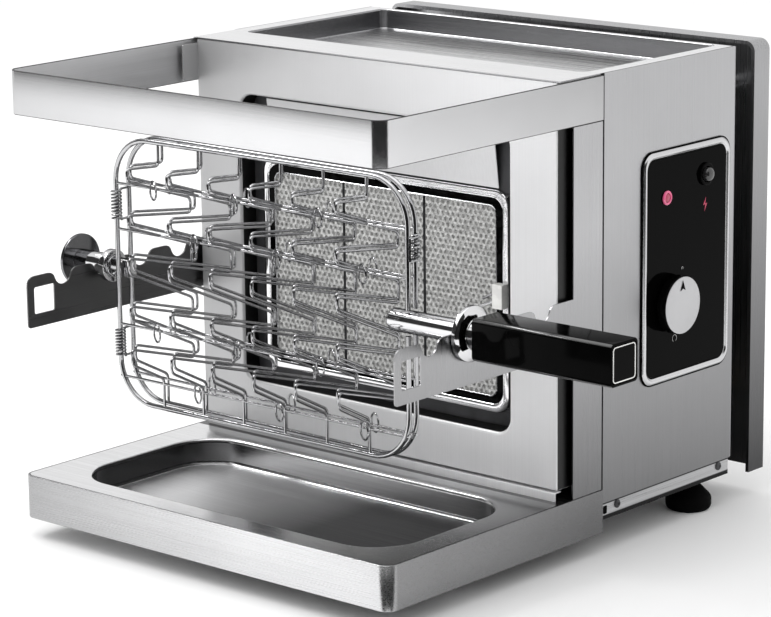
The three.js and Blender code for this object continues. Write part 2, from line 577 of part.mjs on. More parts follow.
// ---- food basket ------------------------------------------------------------------------------------
// One upright wire along its height: [side of the frame's plane, in teeth, and height from the axis].
const TOOTH = 40;              // how far an upright reaches to each side of the frame's plane
const UPRIGHT = [
  [0, 122], [0, 102], [-1, 105], [-1, 94], [1, 67], [1, 53], [-1, 63], [-1, 52], [1, 24], [1, 4], [-1, 24],
  [-1, 10], [1, -26], [1, -42], [-1, -20], [-1, -32], [1, -70], [1, -83], [-1, -60], [-1, -74], [0, -95],
  [0, -122],
];
const CROSS_RODS = [80.5, 38, -51, -100]; // each crosses the uprights where they pass the frame's plane
const UPRIGHTS = 6;
const STAGGER = 5;             // the two halves' uprights pass side by side
const BREAK = 11.4;            // the frames stop short of the right spindle
const KNUCKLES = [[46, 74], [-82, -56]];

// One half of the basket, drawn with its frame in the plane y = 0 and the spit axis at z = 0.
function basketHalf(stagger) {
  const { left, right, half, corner, wire: r, mesh } = BASKET;
  const bend = (x, z, from) => Array.from({ length: 5 }, (_, i) => {
    const a = from + (i * Math.PI) / 8;
    return [x + corner * Math.cos(a), z + corner * Math.sin(a)];
  });
  const frame = plateXZ(wireOutline([
    [right, BREAK],
    ...bend(right - corner, half - corner, 0),
    ...bend(left + corner, half - corner, Math.PI / 2),
    ...bend(left + corner, corner - half, Math.PI),
    ...bend(right - corner, corner - half, 1.5 * Math.PI),
    [right, -BREAK],
  ], r), -r, r);
  const pitch = (right - left) / (UPRIGHTS + 1);
  const outline = wireOutline(UPRIGHT.map(([side, z]) => [side * TOOTH, z]), mesh);
  const uprights = Array.from({ length: UPRIGHTS }, (_, i) => {
    const x = left + (i + 1) * pitch + stagger;
    return plateYZ(outline, x - mesh, x + mesh);
  });
  const rods = CROSS_RODS.map((z) => box(left, right, -mesh, mesh, z - mesh, z + mesh));
  return joined([frame, ...uprights, ...rods]);
}

function makeBasket() {
  const lean = Math.atan2(PLANE_LEFT - PLANE_RIGHT, BASKET.right - BASKET.left);
  const seat = (mesh, side) => {
    mesh.rotation.z = -side * lean;
    mesh.position.set(BASKET.left * (1 - Math.cos(lean)), SPIT_Y + side * PLANE_LEFT
      + side * BASKET.left * Math.sin(lean), SPIT_Z);
    return mesh;
  };
  seat(place('basket_front_half', basketHalf(STAGGER), chrome), -1);

  const reach = -2 * PLANE_LEFT;
  const knuckles = KNUCKLES.map(([low, high]) => {
    const tube = bar([BASKET.left, reach, low], [BASKET.left, reach, high], 5, 12);
    const arm = box(BASKET.left - 1.2, BASKET.left + 1.2, reach + 4, 0, low, high);
    const bore = bar([BASKET.left, reach, low - 1], [BASKET.left, reach, high + 1], 3.7, 12);
    return tube.add(arm).subtract(bore);
  });
  seat(place('basket_rear_half', joined([basketHalf(-STAGGER), ...knuckles]), chrome), 1);

  place('basket_latch', latchSolid(52, 76), chrome);
}

// A clip that turns on the rear frame's upright and closes along the outer side of the front frame's.
function latchSolid(low, high) {
  const { right } = BASKET;
  const y = PLANE_RIGHT;
  const r = BASKET.wire * 1.42;
  const ring = bar([0, y, low], [0, y, high], r + 2, 16);
  const bore = bar([0, y, low - 1], [0, y, high + 1], r + 0.4, 16);
  const arm = box(r + 0.6, r + 1.9, -y - r, y, low, high);
  return ring.subtract(bore).add(arm).translate([right, SPIT_Y, SPIT_Z]);
}

makeBase();
makeDripTray();
makeHoodBand();
makeSidePlate('left_side_plate', -1);
makeSidePlate('right_side_plate', 1);
makeFrontPanel();
makeBurner();
makeGasTrain();
makeIgnition();
makeCasing();
makeControls();
makeFoot('rear_left_foot', -FOOT_X, REAR_FOOT_Y, SIDE_RAIL_LOW - GAP);
makeFoot('rear_right_foot', FOOT_X, REAR_FOOT_Y, SIDE_RAIL_LOW - GAP);
makeFoot('front_left_foot', -FRONT_FOOT_X, FRONT_FOOT_Y, RAIL.low - GAP);
makeFoot('front_right_foot', FRONT_FOOT_X, FRONT_FOOT_Y, RAIL.low - GAP);
makeSpit();
makeBasket();

// The box runs from the left flange to the handle's end, and from the hood's front to the gas inlet.
const BOX = { x0: SPIT_LEFT, x1: HANDLE.end, y0: HOOD_FRONT, y1: INLET.end };
oven.position.set(-(BOX.x0 + BOX.x1) / 2, -(BOX.y0 + BOX.y1) / 2, -GROUND);

export default oven;
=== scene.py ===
import json
import math

import bmesh
import bpy
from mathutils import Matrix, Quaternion, Vector


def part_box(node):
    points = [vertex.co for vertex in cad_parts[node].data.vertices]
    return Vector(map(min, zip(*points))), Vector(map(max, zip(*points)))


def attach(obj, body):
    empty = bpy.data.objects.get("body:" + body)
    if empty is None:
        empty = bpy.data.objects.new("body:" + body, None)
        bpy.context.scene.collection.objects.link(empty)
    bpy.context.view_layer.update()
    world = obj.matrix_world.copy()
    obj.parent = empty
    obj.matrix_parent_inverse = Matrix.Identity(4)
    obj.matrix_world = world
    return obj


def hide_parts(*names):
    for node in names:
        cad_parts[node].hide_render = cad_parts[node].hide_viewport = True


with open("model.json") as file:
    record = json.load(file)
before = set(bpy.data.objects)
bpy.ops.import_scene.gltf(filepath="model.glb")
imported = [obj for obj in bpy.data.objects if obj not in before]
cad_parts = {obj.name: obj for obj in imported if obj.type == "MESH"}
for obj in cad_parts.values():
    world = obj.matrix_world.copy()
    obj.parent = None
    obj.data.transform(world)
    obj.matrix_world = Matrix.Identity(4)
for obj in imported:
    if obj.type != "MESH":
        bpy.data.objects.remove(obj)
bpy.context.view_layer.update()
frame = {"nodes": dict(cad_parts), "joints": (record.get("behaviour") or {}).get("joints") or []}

# ---- the frame's places, in metres ---------------------------------------------------------------
JOINTS = {j["name"]: j for j in frame["joints"]}
SPIT = Vector(JOINTS["spit_spin"]["pos_m"])
HINGE = Vector(JOINTS["basket_open"]["pos_m"])
LATCH = Vector(JOINTS["latch_turn"]["pos_m"])
KNOB = Vector(JOINTS["knob_rotate"]["pos_m"])
SHEET = 0.0012                 # sheet steel thickness


# ---- camera and light ------------------------------------------------------------------------------
CAMERA_AZIMUTH = math.radians(41.2321)
CAMERA_ELEVATION = math.radians(13.2256)
CAMERA_ROLL = math.radians(-0.6483)
CAMERA_LENS = 149.86           # mm
SENSOR_WIDTH = 36              # mm
CAMERA_DISTANCE = 2.9
CAMERA_TARGET = Vector((-0.0399, -0.0497, 0.208))
WORLD_STRENGTH = 0.98
FLOOR_REACH = 15
FLAG_CENTRE = Vector((0.16, -0.276, 0))        # the foot of the front right corner
FLAG_STEPS = 24
FRONT_ARC = (-26, 112)         # compass angles, in degrees
LEFT_ARC = (-76, -26)


def make_camera():
    data = bpy.data.cameras.new("camera")
    data.lens = CAMERA_LENS
    data.sensor_width = SENSOR_WIDTH
    camera = bpy.data.objects.new("camera", data)
    bpy.context.scene.collection.objects.link(camera)
    bpy.context.scene.camera = camera
    level = math.cos(CAMERA_ELEVATION)
    back = Vector((math.sin(CAMERA_AZIMUTH) * level, -math.cos(CAMERA_AZIMUTH) * level,
                   math.sin(CAMERA_ELEVATION)))
    camera.location = CAMERA_TARGET + back * CAMERA_DISTANCE
    camera.rotation_mode = "QUATERNION"
    camera.rotation_quaternion = (-back).to_track_quat("-Z", "Y")
    camera.rotation_quaternion.rotate(Quaternion(back, CAMERA_ROLL))


def area_light(name, place, size, power, height=None):
    data = bpy.data.lights.new(name, "AREA")
    data.size = size
    if height:
        data.shape = "RECTANGLE"
        data.size_y = height
    data.energy = power
    light = bpy.data.objects.new(name, data)
    light.location = place
    light.rotation_mode = "QUATERNION"
    light.rotation_quaternion = (CAMERA_TARGET - Vector(place)).to_track_quat("-Z", "Y")
    bpy.context.scene.collection.objects.link(light)


def make_studio():
    world = bpy.data.worlds.new("studio")
    bpy.context.scene.world = world
    world.use_nodes = True
    background = world.node_tree.nodes["Background"]
    background.inputs["Color"].default_value = (1, 1, 1, 1)
    background.inputs["Strength"].default_value = WORLD_STRENGTH
    area_light("top_softbox", (-0.3, -0.3, 2.6), 2.4, 16)
    area_light("front_softbox", (-2.2, -2.4, 1.5), 2.2, 16)
    area_light("strip_light", (-1.9, -0.9, 2.5), 2.4, 24, height=0.2)
    corners = [[(x, y, 0) for x in (-FLOOR_REACH, FLOOR_REACH)] for y in (-FLOOR_REACH, FLOOR_REACH)]
    floor = surface("floor", corners, pale_floor())
    card = plastic("black_card", (0.004, 0.004, 0.004), 0.9)
    make_flag("base_flag", FRONT_ARC, ((0.02, 0.001), (0.45, 0.001)), card)
    make_flag("hood_flag", FRONT_ARC, ((0.85, 0.001), (1.3, 0.001), (1.3, 1.2)), card)
    make_flag("horizon_flag", LEFT_ARC, ((2.3, 0.34), (2.3, 1.9)), card)


def make_flag(name, spread, outline, card):
    """A curved black card round the front right corner, from one compass angle to another. Its outline is a
    list of (reach, height). It shows only in reflections, where it draws the dark lines that polished steel
    has in a studio."""
    start, end = (math.radians(a) for a in spread)
    angles = [start + (end - start) * i / FLAG_STEPS for i in range(FLAG_STEPS + 1)]
    rows = [[FLAG_CENTRE + Vector((reach * math.sin(a), -reach * math.cos(a), z)) for a in angles]
            for reach, z in outline]
    flag = surface(name, rows, card)
    flag.visible_camera = False
    flag.visible_diffuse = False
    flag.visible_shadow = False


# ---- materials -------------------------------------------------------------------------------------
class Nodes:
    """A material with a Principled shader and short calls for the nodes that feed it."""

    def __init__(self, name):
        self.material = bpy.data.materials.new(name)
        self.material.use_nodes = True
        self.tree = self.material.node_tree
        self.shader = self.tree.nodes["Principled BSDF"]

    def add(self, kind, links=(), **values):
        node = self.tree.nodes.new(kind)
        for key, value in values.items():
            if key in node.inputs:
                node.inputs[key].default_value = value
            else:
                setattr(node, key, value)
        for socket, source in dict(links).items():
            self.tree.links.new(source, node.inputs[socket])
        return node

    def place(self, scale):
        coord = self.add("ShaderNodeTexCoord")
        mapping = self.add("ShaderNodeMapping", {"Vector": coord.outputs["Object"]}, Scale=scale)
        return mapping.outputs["Vector"]

    def noise(self, scale, detail=3.0):
        noise = self.add("ShaderNodeTexNoise", {"Vector": self.place(scale)}, Scale=1.0, Detail=detail)
        return noise.outputs["Fac"]

    def span(self, value, low, high, start=0.3, end=0.7):
        node = self.add("ShaderNodeMapRange", {"Value": value})
        for socket, number in zip(("From Min", "From Max", "To Min", "To Max"), (start, end, low, high)):
            node.inputs[socket].default_value = number
        return node.outputs["Result"]

    def times(self, a, b):
        node = self.add("ShaderNodeMath", operation="MULTIPLY")
        self.tree.links.new(a, node.inputs[0])
        self.tree.links.new(b, node.inputs[1])
        return node.outputs["Value"]

    def tint(self, value, colour):
        """The colour scaled by a value."""
        node = self.add("ShaderNodeVectorMath", operation="SCALE")
        node.inputs[0].default_value = colour
        self.tree.links.new(value, node.inputs["Scale"])
        self.tree.links.new(node.outputs["Vector"], self.shader.inputs["Base Color"])

    def rough(self, value):
        self.tree.links.new(value, self.shader.inputs["Roughness"])

    def bump(self, height, strength, distance):
        node = self.add("ShaderNodeBump", {"Height": height}, Strength=strength, Distance=distance)
        self.tree.links.new(node.outputs["Normal"], self.shader.inputs["Normal"])


FINE = 1100                    # brush marks across the grain, per metre
LONG = 5                       # and along it


def steel(name, colour, roughness, grain="X", streak=0.12, edge=0.9, painted_shading=(), metal=1.0):
    """Brushed or polished metal. grain is the axis the brush ran along. Each entry of the shading list is
    (axis, start, end, low, high), a slow change of brightness along one axis: painted shade and painted
    reflection. metal under 1 is a blasted, half matt surface."""
    nodes = Nodes(name)
    scale = tuple(LONG if axis == grain else FINE for axis in "XYZ")
    marks = nodes.noise(scale, 2.0)
    cloud = nodes.noise((9, 9, 9))
    bright = nodes.times(nodes.span(marks, 1 - streak, 1.0), nodes.span(cloud, 0.93, 1.0))
    if painted_shading:
        split = nodes.add("ShaderNodeSeparateXYZ", {"Vector": nodes.place((1, 1, 1))})
    # each shading entry scales the colour along one axis: painted shade and painted reflection
    for axis, start, end, low, high in painted_shading:
        bright = nodes.times(bright, nodes.span(split.outputs[axis], low, high, start, end))
    nodes.tint(bright, colour)
    nodes.rough(nodes.span(marks, roughness * 0.8, roughness * 1.3))
    nodes.bump(marks, 0.15, 0.00002)
    nodes.shader.inputs["Metallic"].default_value = metal
    nodes.shader.inputs["Specular Tint"].default_value = (edge, edge, edge, 1)
    return nodes.material


def plastic(name, colour, roughness, coat=0.0, grain=0.0, shine=0.5):
    nodes = Nodes(name)
    cloud = nodes.noise((60, 60, 60))
    nodes.tint(nodes.span(cloud, 0.8, 1.15), colour)
    nodes.rough(nodes.span(cloud, roughness * 0.8, roughness * 1.3))
    if grain:
        nodes.bump(nodes.noise((1500, 1500, 1500)), grain, 0.0001)
    nodes.shader.inputs["Coat Weight"].default_value = coat
    nodes.shader.inputs["Specular IOR Level"].default_value = shine
    return nodes.material


def fired_clay(name):
    """Matt ceramic with pale mineral specks."""
    nodes = Nodes(name)
    speck = nodes.noise((420, 420, 420), 4.0)
    nodes.tint(nodes.span(speck, 0.55, 1.25, 0.35, 0.68), (0.60, 0.60, 0.59))
    nodes.rough(nodes.span(speck, 0.75, 0.95))
    nodes.bump(speck, 0.4, 0.0003)
    return nodes.material


def stained_iron(name):
    nodes = Nodes(name)
    stain = nodes.noise((35, 35, 20), 5.0)
    nodes.tint(nodes.span(stain, 0.5, 1.3), (0.10, 0.10, 0.105))
    nodes.rough(nodes.span(stain, 0.4, 0.75))
    nodes.bump(nodes.noise((700, 700, 700)), 0.3, 0.0001)
    nodes.shader.inputs["Metallic"].default_value = 0.8
    return nodes.material


def pale_floor():
    nodes = Nodes("pale_floor")
    nodes.tint(nodes.span(nodes.noise((2, 2, 2)), 0.985, 1.0), (0.97, 0.97, 0.97))
    nodes.shader.inputs["Roughness"].default_value = 0.6
    return nodes.material


# ---- mesh helpers ----------------------------------------------------------------------------------
SHARP = math.radians(38)
FLAT_MARGIN = 0.0005           # a narrow row of faces beside each bend, which keeps the flat beyond it flat


def mesh_piece(name, bm, *materials):
    bmesh.ops.remove_doubles(bm, verts=bm.verts, dist=1e-6)
    bmesh.ops.dissolve_degenerate(bm, edges=bm.edges, dist=1e-7)
    bmesh.ops.recalc_face_normals(bm, faces=bm.faces)
    data = bpy.data.meshes.new(name)
    bm.to_mesh(data)
    bm.free()
    for material in materials:
        data.materials.append(material)
    data.shade_smooth()
    data.set_sharp_from_angle(angle=SHARP)
    piece = bpy.data.objects.new(name, data)
    bpy.context.scene.collection.objects.link(piece)
    return piece


def add_rows(bm, rows, wrap_rows=False, wrap_cols=False, caps=()):
    """Joins rows of points into a surface. caps closes the first row, the last, or both sides."""
    grid = [[bm.verts.new(p) for p in row] for row in rows]
    across = len(grid[0])
    for i in range(len(grid) - (0 if wrap_rows else 1)):
        a, b = grid[i], grid[(i + 1) % len(grid)]
        for j in range(across - (0 if wrap_cols else 1)):
            k = (j + 1) % across
            bm.faces.new((a[j], a[k], b[k], b[j]))
    if "first" in caps:
        bm.faces.new(grid[0])
    if "last" in caps:
        bm.faces.new(grid[-1])
    if "sides" in caps:
        bm.faces.new([row[0] for row in grid])
        bm.faces.new([row[-1] for row in grid])


def surface(name, rows, material, **how):
    bm = bmesh.new()
    add_rows(bm, rows, **how)
    return mesh_piece(name, bm, material)


def arc(u, v, r, start, steps, turn=90):
    angles = [math.radians(start + turn * i / steps) for i in range(steps + 1)]
    return [(u + r * math.cos(a), v + r * math.sin(a)) for a in angles]


def rounded(u0, u1, v0, v1, r, steps=8):
    """A closed rectangle whose corners are low-left, low-right, top-right and top-left."""
    a, b, c, d = r if isinstance(r, (tuple, list)) else (r, r, r, r)
    return (arc(u0 + a, v0 + a, a, 180, steps) + arc(u1 - b, v0 + b, b, 270, steps)
            + arc(u1 - c, v1 - c, c, 0, steps) + arc(u0 + d, v1 - d, d, 90, steps))


def softened(points, radius, steps=4):
    """The same line of points with its bends rounded."""
    points = [Vector(p) for p in points]
    out = [points[0]]
    for before, here, after in zip(points, points[1:], points[2:]):
        reach_in = min(radius, (here - before).length * 0.45)
        reach_out = min(radius, (after - here).length * 0.45)
        start = here + (before - here).normalized() * reach_in
        end = here + (after - here).normalized() * reach_out
        for i in range(steps + 1):
            t = i / steps
            out.append(start * (1 - t) ** 2 + here * 2 * t * (1 - t) + end * t ** 2)
    return out + [points[-1]]


def add_tube(bm, points, r, sides=10, closed=False):
    points = [Vector(p) for p in points]
    count = len(points)
    side = None
    rows = []
    for i, here in enumerate(points):
        ahead = points[(i + 1) % count] if closed or i + 1 < count else here
        behind = points[i - 1] if closed or i else here
        along = (ahead - behind).normalized()
        if side is None:
            side = along.orthogonal().normalized()
        side = (side - along * side.dot(along)).normalized()
        up = along.cross(side)
        rows.append([here + (side * math.cos(a) + up * math.sin(a)) * r
                     for a in (2 * math.pi * k / sides for k in range(sides))])
    add_rows(bm, rows, wrap_rows=closed, wrap_cols=True, caps=() if closed else ("first", "last"))


def add_ring(bm, centre, normal, radius, wire, turns=1.0, rise=0.0, steps=20):
    """A wire ring, or a coil that rises along its normal."""
    normal = Vector(normal).normalized()
    u = normal.orthogonal().normalized()
    v = normal.cross(u)
    total = max(3, int(steps * turns))
    closed = rise == 0 and turns == 1
    points = []
    for i in range(total + (0 if closed else 1)):
        a = 2 * math.pi * turns * i / total
        around = (u * math.cos(a) + v * math.sin(a)) * radius
        points.append(Vector(centre) + around + normal * (rise * i / total))
    add_tube(bm, points, wire, 8, closed)


def turned(name, profile, centre, material, axis="X", steps=56):
    """A turned piece: profile is a list of (place along the axis, radius)."""
    rows = []
    for along, radius in profile:
        ring = [(radius * math.cos(a), radius * math.sin(a)) for a in
                (2 * math.pi * i / steps for i in range(steps))]
        if axis == "X":
            rows.append([(along, centre[0] + u, centre[1] + v) for u, v in ring])
        else:
            rows.append([(centre[0] + u, centre[1] + v, along) for u, v in ring])
    return surface(name, rows, material, wrap_cols=True)


def finish_faces(piece, finishes):
    """Gives each face the first finish whose test it meets. Each test reads the face's centre and normal."""
    for material, _ in finishes:
        piece.data.materials.append(material)
    for face in piece.data.polygons:
        for index, (_, test) in enumerate(finishes, 1):
            if test(face.center, face.normal):
                face.material_index = index
                break


def stands_for(piece, body, slot, *nodes):
    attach(piece, body)
    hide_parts(*nodes)
    return piece


def extra(piece, body):
    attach(piece, body)
    return piece


# ---- the finishes ----------------------------------------------------------------------------------
# painted reflection and shade: the front darker towards the left, the sides darker towards the back
HOOD_STEEL = steel("hood_steel", (0.74, 0.74, 0.75), 0.2, "X", 0.07,
                   painted_shading=(("X", -0.28, 0.04, 0.76, 1.0), ("Y", -0.27, 0.01, 1.0, 0.70)))
HOOD_INSIDE = steel("hood_inside", (0.74, 0.74, 0.75), 0.5, "Y", 0.12)
CUT_EDGE = steel("cut_edge", (0.10, 0.10, 0.10), 0.4, "X", 0.1)
# painted reflection and shade: the front darker towards the left, the side faces much darker and darker again
# towards the back
BASE_STEEL = steel("base_steel", (0.80, 0.80, 0.81), 0.27, "X", 0.13,
                   painted_shading=(("X", -0.28, 0.0, 0.52, 1.0), ("Y", -0.272, -0.262, 1.0, 0.38),
                           ("Y", -0.26, 0.0, 1.0, 0.66)))
# painted reflection: the rim darker towards the right
TRAY_RIM = steel("tray_rim", (0.90, 0.90, 0.91), 0.2, "X", 0.14, painted_shading=(("X", 0.04, 0.15, 1.0, 0.28),))
# painted shade and reflection: the dish walls nearly black at the left end and darker towards the right end
TRAY_WALL_SHADE = steel("tray_wall_shade", (0.86, 0.86, 0.87), 0.16, "X", 0.2,
                  painted_shading=(("X", -0.25, -0.17, 0.10, 1.0), ("X", 0.05, 0.125, 1.0, 0.25)))
# painted reflection: the dish floor darker towards the middle and the right
TRAY_STEEL = steel("tray_steel", (0.97, 0.97, 0.98), 0.42, "X", 0.2,
                   painted_shading=(("X", -0.19, -0.02, 1.0, 0.13), ("X", -0.04, 0.10, 1.0, 0.7)))
TOP_STEEL = steel("top_steel", (0.95, 0.95, 0.96), 0.2, "X", 0.1)
# darker copies of the warming tray's steel for its side walls and its rear wall: painted shade
TOP_WALL_SHADE = steel("top_wall_shade", (0.34, 0.34, 0.35), 0.2, "X", 0.1)
TOP_REAR_SHADE = steel("top_rear_shade", (0.52, 0.52, 0.53), 0.2, "X", 0.1)
# painted shade: the floor darker towards the back
TOP_FLOOR = steel("top_floor", (0.95, 0.95, 0.96), 0.26, "X", 0.2, painted_shading=(("Y", 0.02, 0.20, 1.0, 0.6),))
# painted reflection: darker towards the left
PANEL_STEEL = steel("panel_steel", (0.97, 0.97, 0.98), 0.4, "Z", 0.05,
                    painted_shading=(("X", -0.27, 0.09, 0.5, 1.0),), metal=0.5)
# near black steel for the opening's recess walls and the panel's right return: painted shadow
PANEL_SHADOW = steel("panel_shadow", (0.05, 0.05, 0.05), 0.35, "Y", 0.1)
# painted shade: darker towards the bottom
COLUMN_STEEL = steel("column_steel", (0.54, 0.54, 0.55), 0.3, "Z", 0.12,
                     painted_shading=(("Z", 0.06, 0.3, 0.42, 1.0),))
# a much darker copy of the column steel, used on the left side plate: painted shade
FAR_COLUMN_SHADE = steel("far_column_shade", (0.17, 0.17, 0.17), 0.34, "Y", 0.12)
# painted shade: darker towards the bottom
COVER_STEEL = steel("cover_steel", (0.54, 0.54, 0.55), 0.34, "Z", 0.1,
                    painted_shading=(("Z", 0.05, 0.34, 0.46, 1.0),))
# painted shade: darker towards the bottom
SHIELD_STEEL = steel("shield_steel", (0.50, 0.50, 0.51), 0.3, "Z", 0.1, painted_shading=(("Z", 0.03, 0.4, 0.16, 0.9),))
# painted shade: a near black band along the bottom and a dark line along the top
RAIL_STEEL = steel("rail_steel", (0.56, 0.56, 0.57), 0.3, "Y", 0.25,
                   painted_shading=(("Z", 0.0335, 0.0345, 0.03, 1.0), ("Z", 0.0438, 0.0444, 1.0, 0.1)))
MILL_STEEL = steel("mill_steel", (0.42, 0.42, 0.43), 0.42, "X", 0.15)
CHROME = steel("chrome", (0.80, 0.80, 0.81), 0.06, "X", 0.03, edge=0.0)
# a darker copy of the chrome, used on the left flange: painted shade
SHADED_CHROME = steel("shaded_chrome", (0.26, 0.26, 0.27), 0.12, "X", 0.05, edge=0.0)
WIRE_CHROME = steel("wire_chrome", (0.56, 0.56, 0.57), 0.1, "Z", 0.05, edge=0.0)
BEZEL_CHROME = steel("bezel_chrome", (0.90, 0.90, 0.91), 0.1, "X", 0.03, edge=0.3)
FRAME_CHROME = steel("frame_chrome", (0.74, 0.74, 0.75), 0.2, "Z", 0.05, edge=0.2)
BRASS = steel("brass", (0.72, 0.54, 0.26), 0.3, "Y", 0.1)
KNOB_SILVER = steel("knob_silver", (0.60, 0.60, 0.61), 0.4, "Z", 0.06)
IRON = stained_iron("burner_iron")
CLAY = fired_clay("burner_clay")
PORCELAIN = plastic("porcelain", (0.92, 0.915, 0.89), 0.25, 0.6)
BLACK_GLOSS = plastic("black_gloss", (0.0015, 0.0015, 0.0015), 0.09, shine=0.03)
BLACK_EDGE = plastic("black_edge", (0.02, 0.02, 0.02), 0.14, shine=1.0)
BLACK_PLATE = plastic("black_plate", (0.001, 0.001, 0.001), 0.05, shine=0.03)
BLACK_RUBBER = plastic("black_rubber", (0.002, 0.002, 0.002), 0.7, grain=0.4, shine=0.04)
RED_LENS = plastic("red_lens", (0.85, 0.14, 0.30), 0.15, 0.5)
RED_CORE = plastic("red_core", (0.45, 0.03, 0.09), 0.2, 0.5)
PRINT_WHITE = plastic("print_white", (0.50, 0.50, 0.50), 0.5)
PRINT_RED = plastic("print_red", (0.50, 0.04, 0.10), 0.5)

NODE_FINISH = {
    "front_foot_rail": MILL_STEEL, "left_side_plate": FAR_COLUMN_SHADE, "right_side_plate": COLUMN_STEEL,
    "burner_surround": IRON, "burner_body": IRON, "burner_deflector": PANEL_STEEL, "mixing_tube": IRON,
    "gas_jet": BRASS, "gas_valve": BRASS, "jet_pipe": BRASS, "inlet_pipe": BRASS, "inlet_nipple": BRASS,
    "push_collar": BRASS, "valve_stem": BRASS, "electrode_bracket": PORCELAIN, "ignition_electrode": CHROME,
    "thermocouple": CHROME, "left_side_cover": COVER_STEEL, "right_side_cover": COVER_STEEL,
    "left_rail": RAIL_STEEL, "right_rail": RAIL_STEEL, "bottom_plate": MILL_STEEL, "rear_wall": MILL_STEEL,
    "rear_heat_shield": SHIELD_STEEL, "control_plate": BLACK_PLATE,
    **{f"shield_standoff_{i}": MILL_STEEL for i in range(1, 5)},
}
EDGE_BEVEL = 0.0003
EDGE_ROUND = {"left_side_plate", "right_side_plate", "left_side_cover", "right_side_cover", "left_rail",
              "right_rail", "rear_heat_shield", "burner_deflector", "electrode_bracket"}


def finish_nodes():
    for name, material in NODE_FINISH.items():
        node = frame["nodes"][name]
        node.data.materials.clear()
        node.data.materials.append(material)
        if name in EDGE_ROUND:
            weld = node.modifiers.new("weld", "WELD")
            weld.merge_threshold = 0.00001
            bevel = node.modifiers.new("bevel", "BEVEL")
            bevel.width = EDGE_BEVEL
            bevel.segments = 2
            bevel.limit_method = "ANGLE"
            bevel.angle_limit = math.radians(50)


# ---- sheet metal -----------------------------------------------------------------------------------
BAND_WALL = 0.0015             # the hood band's and the base skirt's sheet
BAND_BEND = 0.0115


def open_band(x0, x1, y0, y1, r, steps=14):
    """The front and both sides of a rectangle, open at the back."""
    return [(x0, y1)] + arc(x0 + r, y0 + r, r, 180, steps) + arc(x1 - r, y0 + r, r, 270, steps) + [(x1, y1)]


def make_hood():
    low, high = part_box("hood_band")
    rim = BAND_WALL / 2 - 0.00001
    section = rounded(0, BAND_WALL, low.z, high.z, rim, 4)
    rows = [[(x, y, z) for x, y in open_band(low.x + t, high.x - t, low.y + t, high.y, BAND_BEND - t)]
            for t, z in section]
    hood = surface("hood_shell", rows, HOOD_STEEL, wrap_rows=True, caps=("sides",))
    behind = Vector(((low.x + high.x) / 2, high.y + 1, 0))

    def cut(centre, _):
        return not low.z + rim < centre.z < high.z - rim

    def inward(centre, normal):
        return normal.dot(behind - Vector((centre.x, centre.y, 0))) > 0

    finish_faces(hood, ((CUT_EDGE, cut), (HOOD_INSIDE, inward)))
    stands_for(hood, "oven", "polished_steel", "hood_band")


def make_skirt():
    low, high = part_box("base_skirt")
    tray_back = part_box("drip_tray")[1].y
    bm = bmesh.new()
    section = rounded(0, BAND_WALL, low.z, high.z, 0.0005, 3)

    def ring(t):
        bend = BAND_BEND - t
        return rounded(low.x + t, high.x - t, low.y + t, high.y - t, (bend, bend, 0, 0))

    add_rows(bm, [[(x, y, z) for x, y in ring(t)] for t, z in section], wrap_rows=True, wrap_cols=True)
    inner = BAND_WALL - 0.0002
    square = 0.0002
    deck = rounded(low.x + inner, high.x - inner, tray_back + 0.0006, high.y - 0.001, square, 2)
    add_rows(bm, [[(x, y, z) for x, y in deck] for z in (high.z - 0.0016, high.z)], wrap_cols=True,
             caps=("first", "last"))
    # the ledge under the drip tray's rim, which runs round the inside of the skirt
    ledge_reach = BAND_WALL + 0.010
    edges = (low.x + inner, high.x - inner, low.y + inner, tray_back + 0.012)
    hole = (low.x + ledge_reach, high.x - ledge_reach, low.y + 0.012, tray_back - 0.008)
    under, over = high.z - 0.0034, high.z - 0.0019
    turn = BAND_BEND - inner
    edge_corners = (turn, turn, square, square)
    rows = [[(x, y, z) for x, y in rounded(*box, corners, 8)] for box, corners, z in
            ((edges, edge_corners, under), (edges, edge_corners, over), (hole, 0.008, over),
             (hole, 0.008, under))]
    add_rows(bm, rows, wrap_rows=True, wrap_cols=True)
    skirt = mesh_piece("base_shell", bm, BASE_STEEL)
    stands_for(skirt, "oven", "brushed_steel", "base_skirt")
    make_upstand(high.z)


def make_upstand(deck):
    """The bent lip that closes the slot between the base's deck and the front panel."""
    low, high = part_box("front_panel")
    y = low.y + 0.0208
    foot = deck + 0.0001
    over, under = low.z - 0.0026, low.z - 0.0036
    lip = softened([(0, y, foot), (0, y, over), (0, y + 0.008, over)], 0.0015)
    back = softened([(0, y + 0.009, under), (0, y + SHEET, under), (0, y + SHEET, foot)], 0.0008)
    inset = 0.003
    rows = [[(x, p.y, p.z) for p in lip + back] for x in (low.x + inset, high.x - inset)]
    upstand = surface("deck_upstand", rows, PANEL_STEEL, wrap_cols=True, caps=("first", "last"))
    extra(upstand, "oven")


def pressed_dish(outer, outer_corners, dish, corner, top, floor, edge, sheet=SHEET):
    """Rows of a flat rim with a dish pressed into it: from the middle of the underside, round the rim, to the
    middle of the floor."""
    x0, x1, y0, y1 = outer
    u0, u1, v0, v1 = dish

    def ring(grow, z):
        outline = rounded(u0 - grow, u1 + grow, v0 - grow, v1 + grow, corner + grow, 12)
        return [(x, y, z) for x, y in outline]

    def rim(z):
        return [(x, y, z) for x, y in rounded(x0, x1, y0, y1, outer_corners, 12)]

    under = [ring(sheet - edge, floor - sheet), ring(sheet, floor - sheet + edge), ring(sheet, top - edge),
             rim(top - sheet)]
    over = [rim(top), ring(edge + FLAT_MARGIN, top)]
    for grow, z in arc(edge, top - edge, edge, 90, 6):
        over.append(ring(grow, z))
    for grow, z in arc(-edge, floor + edge, edge, 0, 6, -90):
        over.append(ring(grow, z))
    return under + over + [ring(-edge - FLAT_MARGIN, floor)]


